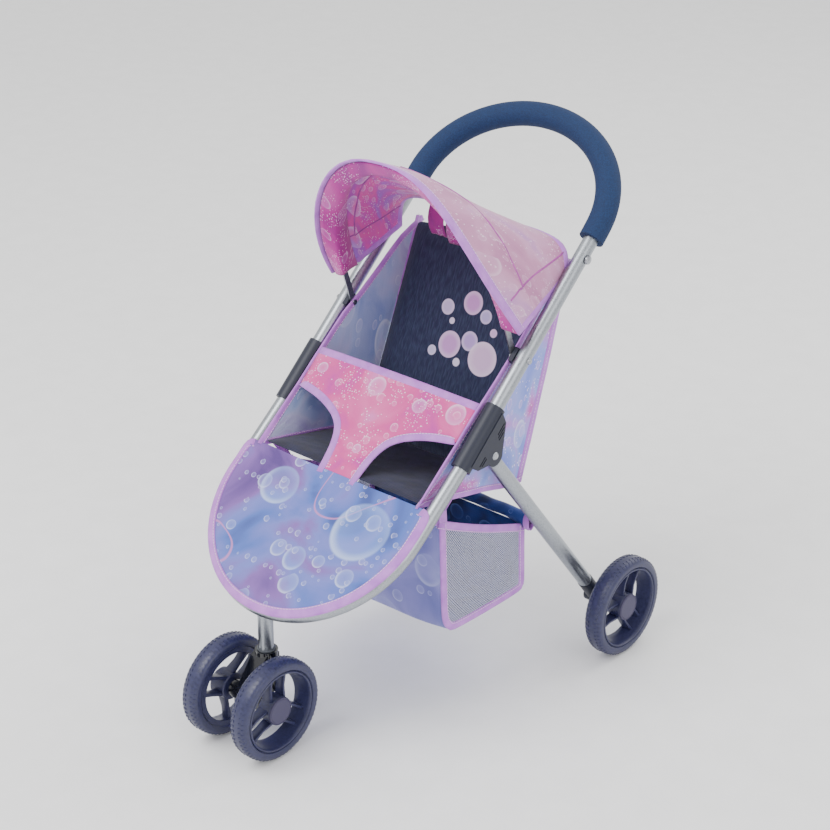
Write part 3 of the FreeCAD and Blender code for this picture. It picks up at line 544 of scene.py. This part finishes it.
def arch(half, height, base, slope, across_power, up_power, bulge=0.0, count=48):
    """Half a rounded arch across the stroller, from its left foot over the top to its right foot."""
    slope, made = math.radians(slope), []
    for step in range(count + 1):
        angle = math.pi * step / count
        lean, lift = math.cos(angle), max(0.0, math.sin(angle))
        up = height * lift ** up_power
        x = half * math.copysign(abs(lean) ** across_power, lean)
        share = up / height
        y = base[0] - up * math.cos(slope) - bulge * 4 * share * (1 - share)
        made.append(mm(x, y, base[1] + up * math.sin(slope)))
    return made


RIM_ARCH = arch(129.3, 178.5, (52.2, 408.3), 68.47, 0.789, 1.444, 13.7)
SEAM_ARCH = arch(120, 161.7, (86, 414.5), 65.9, 0.75, 1.3)
REAR_ARCH = arch(114.6, 40, (147.5, 440), 90, 0.3, 0.45)
HOOD_ROWS = 10, 16


def hood_rows():
    """Rows from the rim to the seam to the rear edge, with the slack of cloth between them."""
    rows = []
    for step in range(HOOD_ROWS[0]):
        share = step / HOOD_ROWS[0]
        rows.append([start.lerp(end, share) for start, end in zip(RIM_ARCH, SEAM_ARCH)])
    for step in range(HOOD_ROWS[1] + 1):
        share = step / HOOD_ROWS[1]
        row = []
        for number, (start, end) in enumerate(zip(SEAM_ARCH, REAR_ARCH)):
            point = start.lerp(end, share)
            sag = 3.0 * math.sin(math.pi * share) * math.sin(math.pi * number / 48)
            crease = 1.2 * math.sin(math.pi * share) * noise.noise(Vector((number * 0.33, share * 3, 1.7)))
            row.append(point - Vector((0, 0, (sag + crease) / 1000)))
        rows.append(row)
    return rows


def surface_line(rows, ends, steps):
    """A line over the hood between two points, dropped onto the nearest places of its grid."""
    corners = [point for row in rows for point in row]
    line = []
    for step in range(steps + 1):
        aim = ends[0].lerp(ends[1], step / steps)
        near = sorted(corners, key=lambda corner: (corner - aim).length)[:4]
        weights = [1 / ((corner - aim).length + 1e-4) for corner in near]
        line.append(sum((corner * weight for corner, weight in zip(near, weights)), Vector()) / sum(weights))
    for _ in range(3):
        line = line[:1] + [(a + b * 2 + c) / 4 for a, b, c in zip(line, line[1:], line[2:])] + line[-1:]
    return line


def welt(line, outward):
    """The raised ridge of a seam along a line."""
    pairs = zip(line, line[1:] + line[:1])
    inner = [point + outward.cross(after - point).normalized() / 1000 for point, after in pairs]
    inner[-1] = line[-1] + (inner[-2] - line[-2])
    return tape("seam", edge_rim(line, inner), 1.7, material=SEAM, thick=0.9, over=0.6, pucker=0.25)


def bow_sleeve():
    """The band inside the rim, which closes over the bow, from the binding to the pale lining."""
    ahead, behind = arch(109.2, 152.6, (47.6, 411.3), 71.9, 1, 1), arch(109.2, 152.6, (59.6, 415.3), 71.9, 1, 1)
    rows = []
    for rim, seam, near, far in zip(RIM_ARCH, SEAM_ARCH, ahead, behind):
        inside = Vector((0.975, 1, 1))
        start, end = rim.lerp(seam, 0.08) * inside, rim.lerp(seam, 0.85) * inside
        drop = Vector((0, 0, 0.0018))
        rows.append(curve_through([start - drop, near, far, end - drop], 3))
    return cloth("hood_band", list(zip(*rows)), [BAND, BAND], thick=0.7)


def hood_tab(name, left, right, top, low):
    """A tab of the hood's cloth that hangs from its rear edge over the top of the backrest."""
    rows = []
    for step in range(7):
        share = step / 6
        row = []
        for column in range(9):
            x = left + (right - left) * column / 8
            wave = 1.2 * math.sin(column * 1.9 + left)
            row.append(mm(x, top[0] + (low[0] - top[0]) * share - 5 * math.sin(math.pi * share) + wave * share,
                          top[1] + (low[1] - top[1]) * share))
        rows.append(row)
    return cloth(name, rows, [BAND, BAND], thick=0.8)


def hood():
    rows = hood_rows()
    made = cloth("hood_cloth", rows, [PINK, LINING], shift=(0.31, 0.17))
    front = rim_of(rows, "start")
    trims = [tape("rim", front, 11.5, thick=1.3)]
    trims += [tape(side, rim_of(rows, side), 6.0) for side in ("left", "right", "end")]
    trims.append(stitches("hood_stitch", [front], 10.0, lift=1.25, both=True))
    for sign in (1, -1):
        corner, bend, out = mm(sign * 104.3, 73, 447), mm(sign * 78, 52, 510), Vector((sign, 0, 0.3))
        crown = surface_line(rows, (mm(sign * 4, 20, 562), bend), 16)
        crown += surface_line(rows, (bend, corner), 12)[1:]
        trims.append(welt(crown, out))
        trims.append(welt(surface_line(rows, (corner, mm(sign * 113, 144, 466)), 16), out))
        trims.append(welt(surface_line(rows, (corner, mm(sign * 113, 46, 441)), 8), out))
    trim = joined("hood_binding", trims)
    band = bow_sleeve()
    for cloth_piece in (made, trim, band):
        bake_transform(cloth_piece)
    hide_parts("hood")
    for name, left, right, low in (("hood_tab", -46, 52, 436), ("hood_tab_narrow", -72, -50, 441)):
        tab = hood_tab(name, left, right, (146.5, 474), (150.0, low))
        dress(tab, "frame", "pink_print")


def pad(name, node, material, place, rise, halves, depths, crown, slope):
    """A stuffed panel: a crowned front and back that close in a soft edge. halves and depths are its half
    widths and depths at its two ends; crown is the swell in front and behind, the folds, and the end's arch."""
    steps, columns, graph = 26, 24, bmesh.new()
    layer = graph.loops.layers.uv.new("cloth")
    grids, plan = [], {}
    for face, swell in ((0, crown[0]), (1, crown[1])):
        grid = []
        for step in range(steps + 1):
            share = step / steps
            half = halves[0] + (halves[1] - halves[0]) * share
            deep = depths[0] + (depths[1] - depths[0]) * share
            row = []
            for column in range(columns + 1):
                across = column / columns * 2 - 1
                edge = min((1 - abs(across)) * half, share * rise, (1 - share) * rise)
                full = 1 - math.exp(-edge / 9)
                fold = noise.noise(Vector((across * 1.7, share * 3.4, 2.3 + face))) * crown[2]
                fold *= 1 - math.exp(-edge / 25)
                lift = crown[3] * (1 - across * across) * smooth(0.75, 1, share)
                out = (deep * 0.36 + swell) * full + fold if face == 0 else -(deep * 0.36 + swell) * full
                vert = graph.verts.new(on_plane(half * across, rise * share + lift, out - deep / 2, slope, place))
                plan[vert] = (half * across / 1000, rise * share / 1000)
                row.append(vert)
            grid.append(row)
        grids.append(grid)
    corners = [
        (g[r][c], g[r][c + 1], g[r + 1][c + 1], g[r + 1][c])
        for g in grids for r in range(steps) for c in range(columns)
    ]
    loops = []
    for g in grids:
        loops.append(g[0][:-1] + [row[-1] for row in g[:-1]] + g[-1][:0:-1] + [row[0] for row in g[:0:-1]])
    front, back = loops
    corners += [(a, b, d, c) for a, b, c, d in zip(front, front[1:] + front[:1], back, back[1:] + back[:1])]
    for quad in corners:
        face = graph.faces.new(quad)
        for loop in face.loops:
            loop[layer].uv = plan[loop.vert]
    made = outward_piece(name, graph, material)
    sub = made.modifiers.new("round", "SUBSURF")
    sub.levels = sub.render_levels = 1
    settle(made)
    dress(made, "frame", "seat_denim", node)


def seat():
    pad("backrest", "seat_back", DENIM, (62.5, 226), 240, (107.5, 102.5), (24, 13), (2.2, 1.5, 1.2, 6), BACK_SLOPE)
    pad("seat_pad", "seat_base", NAVY, (64, 228.6), 143, (108, 108), (5, 5), (0.6, 1.2, 0, 0), BASE_SLOPE)


def side_rows(sign):
    """One seat side from its lower edge to its upper edge, which leans out onto the rail."""
    low = [(-79, 257), (-54, 252), (-29, 247.5), (-4, 242), (21, 237),
           (42, 231.5), (58, 227), (72, 224.5), (81, 223), (89, 222.5)]
    high = [(-82, 259), (-52, 283.5), (-22, 307.5), (3, 329), (25, 346.5),
            (50, 367), (77, 386.5), (105, 409), (136, 434), (168, 449)]
    edge = [112, 111.6, 111.4, 111.4, 111.6, 111.6, 109.6, 107.2, 104.6, 102.6]
    rows = []
    for step in range(11):
        share = step / 10
        row = []
        for number, (a, b, top) in enumerate(zip(low, high, edge)):
            foot = 108.4 - max(0, a[0] - 30) * 0.03
            slack = 1.0 * math.sin(math.pi * share) * noise.noise(Vector((number * 0.9, share * 3, sign)))
            x = foot + (top - foot) * share ** 1.6 + slack
            row.append(mm(sign * x, a[0] + (b[0] - a[0]) * share, a[1] + (b[1] - a[1]) * share))
        rows.append(curve_through(row, 2))
    return rows


def sides():
    for sign, name in ((1, "left"), (-1, "right")):
        rows = side_rows(sign)
        made = cloth(f"seat_side_cloth_{name}", rows, [OUTER_SIDE, PALE], turn=sign < 0)
        rims = [rim_of(rows, side) for side in ("start", "end", "right")]
        trims = [tape("edge", rim, width) for rim, width in zip(rims, (6.0, 6.5, 9.0))]
        trims.append(stitches("stitch", rims, 5.2, lift=1.15, both=True))
        trim = joined(f"seat_side_binding_{name}", trims)
        dress(made, "frame", "side_print", f"seat_side_{name}")
        dress(trim, "frame", "side_print")


def tummy_rows():
    """The tummy panel from its lower end to its upper edge, curved around the legs."""
    outline = [(25, -6), (26, 6), (27.5, 20), (30.5, 33), (36, 45),
               (43, 52.5), (53, 59), (67, 65), (84, 70), (109, 74.5)]
    edge = curve_through([Vector(point) for point in outline], 3)
    edge += [Vector((109 + 1.5 * k / 8, 74.5 + 48 * k / 8)) for k in range(1, 9)]
    rows = []
    for half, along in edge:
        row = []
        for column in range(21):
            across = column / 10 - 1
            out = 1.0 + 3.0 * (1 - across * across) * smooth(0, 110, along)
            row.append(on_plane(half * across, along, out, TUMMY_SLOPE, (-77, 257.6)))
        rows.append(row)
    return rows


def tummy():
    rows = tummy_rows()
    made = cloth("tummy_cloth", rows, [ROSE, PALE])
    rims = [rim_of(rows, side) for side in ("left", "right", "end")]
    rims[:2] = [rim[:28] for rim in rims[:2]]
    trims = [tape("edge", rim, 7.5, thick=1.25) for rim in rims]
    trims.append(stitches("stitch", rims, 6.6, lift=1.15))
    trim = joined("tummy_binding", trims)
    dress(made, "frame", "pink_print", "tummy_panel")
    dress(trim, "frame", "pink_print")


def footrest_rows():
    """The footrest cloth: flat between the tubes and rolled over them, round at its lower end."""
    edge = [(118.5, -55.5), (124, -57), (127.5, -60), (129.4, -65), (130, -72), (130, -81)]
    turns = [math.radians(89.3 * step / 30) for step in range(31)]
    edge += [(130 * math.cos(turn), -89.3 - 130 * math.sin(turn)) for turn in turns]
    rows = []
    for half, along in edge:
        row = []
        for column in range(33):
            x = half * math.sin((column / 16 - 1) * math.pi / 2)
            reach = math.hypot(x, min(0, along + 89.3)) if along < -89.3 else abs(x)
            over = max(0.0, reach - 122)
            dent = 1.6 * (1 - smooth(40, 116, reach)) + 0.8 * noise.noise(Vector((x / 45, along / 45, 0.6)))
            row.append(on_plane(x, along, 9.4 - over * over * 0.028 - dent, LOOP_SLOPE))
        rows.append(row)
    return rows


def footrest():
    rows = footrest_rows()
    made = cloth("footrest_cloth", rows, [BLUE, PALE], turn=True)
    left, beside = [row[0] for row in rows], [row[3] for row in rows[:-1]]
    right, within = [row[-1] for row in rows[::-1]], [row[-4] for row in rows[-2::-1]]
    edge = left[:-1] + [(left[-1] + right[0]) / 2] + right[1:]
    rim = edge_rim(edge, beside + [rows[-2][16]] + within)
    trim = joined("footrest_binding", [tape("edge", rim, 9.0, thick=1.3), stitches("stitch", [rim], 8.0, lift=1.2)])
    dress(made, "frame", "blue_print", "footrest_panel")
    dress(trim, "frame", "blue_print")


def lathe(name, profile, sign, middle, material, turns=96):
    """A ring around a wheel's axis from (radius, out) pairs in mm. It has a hole unless it starts on the axis."""
    graph = bmesh.new()
    rings = []
    for radius, out in profile:
        rings.append([
            graph.verts.new(middle + Vector((sign * out, radius * math.cos(a), radius * math.sin(a))) / 1000)
            for a in (2 * math.pi * turn / turns for turn in range(turns))
        ])
    closed = profile[0][0] > 0
    for ring, after in zip(rings, rings[1:] + rings[:1]) if closed else zip(rings, rings[1:]):
        for turn in range(turns):
            n = (turn + 1) % turns
            graph.faces.new((ring[turn], ring[n], after[n], after[turn]))
    bmesh.ops.remove_doubles(graph, verts=graph.verts, dist=1e-6)
    made = outward_piece(name, graph, material)
    made.data.set_sharp_from_angle(angle=math.radians(32))
    return made


def spokes(name, radius, sign, middle, phase):
    """Three pairs of parallel ribs from the hub to the rim, deeper at the hub."""
    graph = bmesh.new()
    for third in range(3):
        angle = phase + third * 2 * math.pi / 3
        along = Vector((0, math.cos(angle), math.sin(angle)))
        across = Vector((0, -math.sin(angle), math.cos(angle)))
        for side in (-1, 1):
            places = []
            for reach, low, high, half in ((10, -8, 4.6, 2.1), (24, -8, 2.2, 1.8), (radius - 15.5, -8, 3.0, 2.3)):
                for out, offset in ((low, -half), (high, -half * 0.7), (high, half * 0.7), (low, half)):
                    place = along * reach + across * (side * 9.0 + offset) + Vector((sign * out, 0, 0))
                    places.append(graph.verts.new(middle + place / 1000))
            for k in range(0, 8, 4):
                for n in range(4):
                    m = (n + 1) % 4
                    graph.faces.new((places[k + n], places[k + m], places[k + 4 + m], places[k + 4 + n]))
            graph.faces.new(places[:4])
            graph.faces.new(places[8:])
    made = outward_piece(name, graph, RIM)
    bevel = made.modifiers.new("round", "BEVEL")
    bevel.width, bevel.segments = 0.0006, 2
    settle(made)
    made.data.set_sharp_from_angle(angle=math.radians(40))
    return made


def wheel(end, side, phase):
    """A soft tyre with chevron lugs on its shoulders, a deep rim with paired ribs, and a flat hub cap."""
    sign, body = (1 if side == "left" else -1), f"{end}_wheel_{side}"
    low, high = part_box(f"{end}_tyre_{side}")
    middle, radius = (low + high) / 2, (high.z - low.z) * 500
    seat_radius = radius - TYRE_DEPTH
    tyre = lathe("tyre", [
        (seat_radius, -9.6), (seat_radius + 1.5, -10.8), (radius - 5.5, -TYRE_HALF_WIDTH), (radius - 2.9, -9.8), (radius - 1.3, -7.4),
        (radius - 0.7, -4), (radius - 0.5, 0), (radius - 0.7, 4), (radius - 1.3, 7.4), (radius - 2.9, 9.8),
        (radius - 5.5, TYRE_HALF_WIDTH), (seat_radius + 1.6, 10.8), (seat_radius + 0.9, 10.2), (seat_radius + 0.5, 9.0),
        (seat_radius - 0.6, 8.6), (seat_radius - 0.6, -8.6),
    ], sign, middle, TYRE)
    lugs = []
    shoulder, tread = radius - 2.1, radius - 1.0
    for out, reach, lean in ((8.3, shoulder, 0.8), (-8.3, shoulder, -0.8), (4.8, tread, 0.35), (-4.8, tread, -0.35)):
        path = []
        for turn in range(121):
            angle = 2 * math.pi * (turn + (0.5 if abs(out) < 6 else 0)) / 120
            around = Vector((0, math.cos(angle), math.sin(angle)))
            path.append((middle + (around * reach + Vector((sign * out, 0, 0))) / 1000,
                         (around + Vector((sign * lean, 0, 0))).normalized()))
        lugs.append(path)
    blocks_made = blocks("lugs", lugs, TYRE, Pitch=5.4, Out=1.1, Side=3.0, Along=2.3)
    tyre = joined(f"{end}_tyre_moulded_{side}", [tyre, blocks_made])
    dress(tyre, body, "tyre", f"{end}_tyre_{side}")
    rim = lathe("rim", [
        (seat_radius - 0.4, -9.4), (seat_radius - 0.4, 8.4), (seat_radius - 0.2, 9.6), (seat_radius - 0.9, 10.4),
        (seat_radius - 2.0, 10.4), (seat_radius - 2.7, 9.6), (seat_radius - 3.3, 6.0), (seat_radius - 5.0, -4.0),
        (seat_radius - 6.4, -7.2), (seat_radius - 6.2, -9.4),
    ], sign, middle, RIM)
    hub = lathe("hub", [
        (0, -10), (13.6, -10), (14.6, -9), (15.0, 2.0), (15.4, 6.8), (15.0, 7.3), (0, 7.3),
    ], sign, middle, RIM, 64)
    rim = joined(f"{end}_rim_moulded_{side}", [rim, spokes("ribs", radius, sign, middle, phase), hub])
    dress(rim, body, "rim_plastic", f"{end}_rim_{side}")
    cap = lathe(f"{end}_cap_moulded_{side}", [
        (0, 9.15), (12.9, 9.15), (13.2, 8.8), (13.6, 8.8), (13.9, 9.2), (14.6, 9.1), (15.0, 8.6), (15.0, 7.4), (0, 7.4),
    ], sign, middle, CAP, 64)
    dress(cap, body, "cap_plastic", f"{end}_cap_{side}")


BAG_X = 109.0
BAG = [(-43, 228), (-41.5, 190), (-40, 150), (-38.5, 120), (-35.5, 105), (-29, 96), (-19, 91.5), (15, 90), (55, 89.6),
       (86, 90.5), (93, 94), (95.5, 101), (95, 125), (94, 150), (93.5, 170)]


def bag_net(sign):
    """Knitted net of a basket side: thin strands in diamonds, drawn at 3.4 mm, that hang in a little."""
    corners = [mm(sign * BAG_X, *place) for place in ((-40, 224), (92, 168), (94, 93), (-28, 97))]
    across, down = 42, 34
    points, faces, index = [], [], {}

    def corner(i, j):
        if (i, j) not in index:
            u, v = i / (2 * across), j / (2 * down)
            top, low = corners[0].lerp(corners[1], u), corners[3].lerp(corners[2], u)
            hang = 3.0 * math.sin(math.pi * u) * math.sin(math.pi * v)
            index[i, j] = len(points)
            points.append(top.lerp(low, v) - Vector((sign * hang / 1000, 0, 0)))
        return index[i, j]

    for i in range(2 * across - 1):
        for j in range(1, 2 * down):
            if (i + j) % 2 == 0 and i + 2 <= 2 * across and j + 1 <= 2 * down:
                faces.append((corner(i, j), corner(i + 1, j - 1), corner(i + 2, j), corner(i + 1, j + 1)))
    mesh = bpy.data.meshes.new("net")
    mesh.from_pydata(points, [], faces)
    made = piece("net", mesh, [NET])
    wire = made.modifiers.new("strands", "WIREFRAME")
    wire.thickness, wire.use_boundary, wire.use_even_offset = 0.00075, True, False
    settle(made)
    return made


def bag_side_rim(sign, path):
    middle = mm(sign * BAG_X, 30, 150)
    edge = [mm(sign * BAG_X, y, z) for y, z in path]
    return edge_rim(edge, [point.lerp(middle, 0.1) for point in edge])


def basket():
    """The bag: one printed sheet for its front, floor and back, with netting let into both sides."""
    path = curve_through([Vector((y, z)) for y, z in BAG], 2)
    rows = []
    for number, (y, z) in enumerate(path):
        share = number / (len(path) - 1)
        row = []
        for column in range(25):
            across = column / 12 - 1
            belly = (1 - across * across) * math.sin(math.pi * share)
            fold = noise.noise(Vector((across * 1.6, share * 6, 4.2))) * math.sin(math.pi * share)
            push = 5.0 * belly + 2.6 * fold
            ahead, down = (-1.0 if share < 0.42 else 0.4), (-0.8 if 0.3 < share < 0.8 else 0)
            row.append(mm(BAG_X * across, y + ahead * push, z + down * push))
        rows.append(row)
    bag = cloth("basket_cloth", rows, [BASKET_FRONT, BASKET_IN], turn=True)
    trims = []
    for sign in (1, -1):
        net = bag_net(sign)
        lower = bag_side_rim(sign, path)
        mouth = [(-43 + 136.5 * t, 228 - 58 * t - 3.0 * math.sin(math.pi * t)) for t in (k / 12 for k in range(13))]
        upper = bag_side_rim(sign, mouth)
        trims += [net, tape("edge", lower, 8.0, thick=1.3), tape("edge", upper, 8.0, thick=1.3),
                  stitches("stitch", [lower, upper], 7.0, lift=1.3, both=True)]
    trims.append(tape("front", rim_of(rows, "start"), 7.0))
    sides_made = joined("basket_nets", trims)
    for made in (bag, sides_made):
        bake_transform(made)
    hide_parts("basket")

    # the back's upper edge is turned over the bar between the legs
    sleeve = []
    for step in range(15):
        turn = math.radians(-110 + 340 * step / 14)
        row = []
        for column in range(25):
            across = column / 12 - 1
            radius = 6.3 + 0.5 * math.sin(across * 19 + turn)
            low = 6.0 * smooth(0.75, 1.0, abs(across)) * max(0, -math.cos(turn - math.radians(60)))
            row.append(mm(119 * across, CROSSBAR[0] + radius * math.cos(turn), CROSSBAR[1] + radius * math.sin(turn) - low))
        sleeve.append(row)
    made = cloth("basket_sleeve", sleeve, [BASKET_IN, BASKET_IN])
    ends = [tape("edge", rim_of(sleeve, side), 6.5, thick=1.2) for side in ("left", "right")]
    trim = joined("basket_sleeve_binding", ends)
    dress(made, "rear_legs", "basket_print", "basket_rear_loops")
    dress(trim, "rear_legs", "basket_print")


def hangers():
    """The tabs that hold the basket's front corners up behind the tubes of the loop."""
    for sign, name in ((1, "left"), (-1, "right")):
        foot = [mm(sign * 109.6, -45 + 3 * k, 227 - 1.3 * k) for k in range(5)]
        under = (120, -9.0), (126, -8.7), (130, -6.5)
        rows = [[on_plane(sign * x, -44 + 3.4 * k, out, LOOP_SLOPE) for k in range(5)] for x, out in under]
        rows = [[a.lerp(b, step / 4) for a, b in zip(foot, rows[0])] for step in range(4)] + rows
        made = cloth(f"basket_hanger_{name}", rows, [WEBBING, WEBBING], thick=1.0)
        dress(made, "frame", "webbing", *(["basket_front_straps"] if sign == 1 else []))


hood()
seat()
sides()
basket()
hangers()
for end, angle in (("rear", 66), ("front", 83)):
    for side in ("left", "right"):
        wheel(end, side, math.radians(angle if side == "left" else 120 - angle))
tummy()
footrest()

# Studio: a pale floor, a broad key from the upper left, a soft fill, and the camera
floor_mesh = bpy.data.meshes.new("floor")
floor_mesh.from_pydata([(-6, -6, 0), (6, -6, 0), (6, 6, 0), (-6, 6, 0)], [], [(0, 1, 2, 3)])
floor = piece("floor", floor_mesh, [moulded("matt white studio floor", "#F4F4F4", "#F1F1F1", 40.0, 0.01, (0.8, 0.9))])
bpy.context.scene.world = bpy.data.worlds.new("studio")
bpy.context.scene.world.use_nodes = True
backdrop = bpy.context.scene.world.node_tree.nodes["Background"]
backdrop.inputs["Color"].default_value = (1, 1, 1, 1)
backdrop.inputs["Strength"].default_value = 1.25
LIGHTS = ("key", (-0.5, -1.5, 2.3), 1.5, 52), ("fill", (2.2, -0.6, 1.4), 1.5, 14), ("back", (0.4, 1.9, 1.8), 1.6, 18)
for name, place, size, watts in LIGHTS:
    light = bpy.data.lights.new(name, "AREA")
    light.energy, light.size = watts, size
    lamp = bpy.data.objects.new(name, light)
    lamp.location = place
    lamp.rotation_euler = (Vector((0, 0, 0.3)) - Vector(place)).to_track_quat("-Z", "Y").to_euler()
    bpy.context.scene.collection.objects.link(lamp)
camera = bpy.data.objects.new("camera", bpy.data.cameras.new("camera"))
camera.data.lens, camera.data.sensor_width = 84.6, 36
camera.location = mm(1244.8, -1355.9, 1163.6)
aim = mm(1.3, 39.8, 284.0) - camera.location
camera.rotation_euler = aim.to_track_quat("-Z", "Y").to_euler()
bpy.context.scene.collection.objects.link(camera)
bpy.context.scene.camera = camera
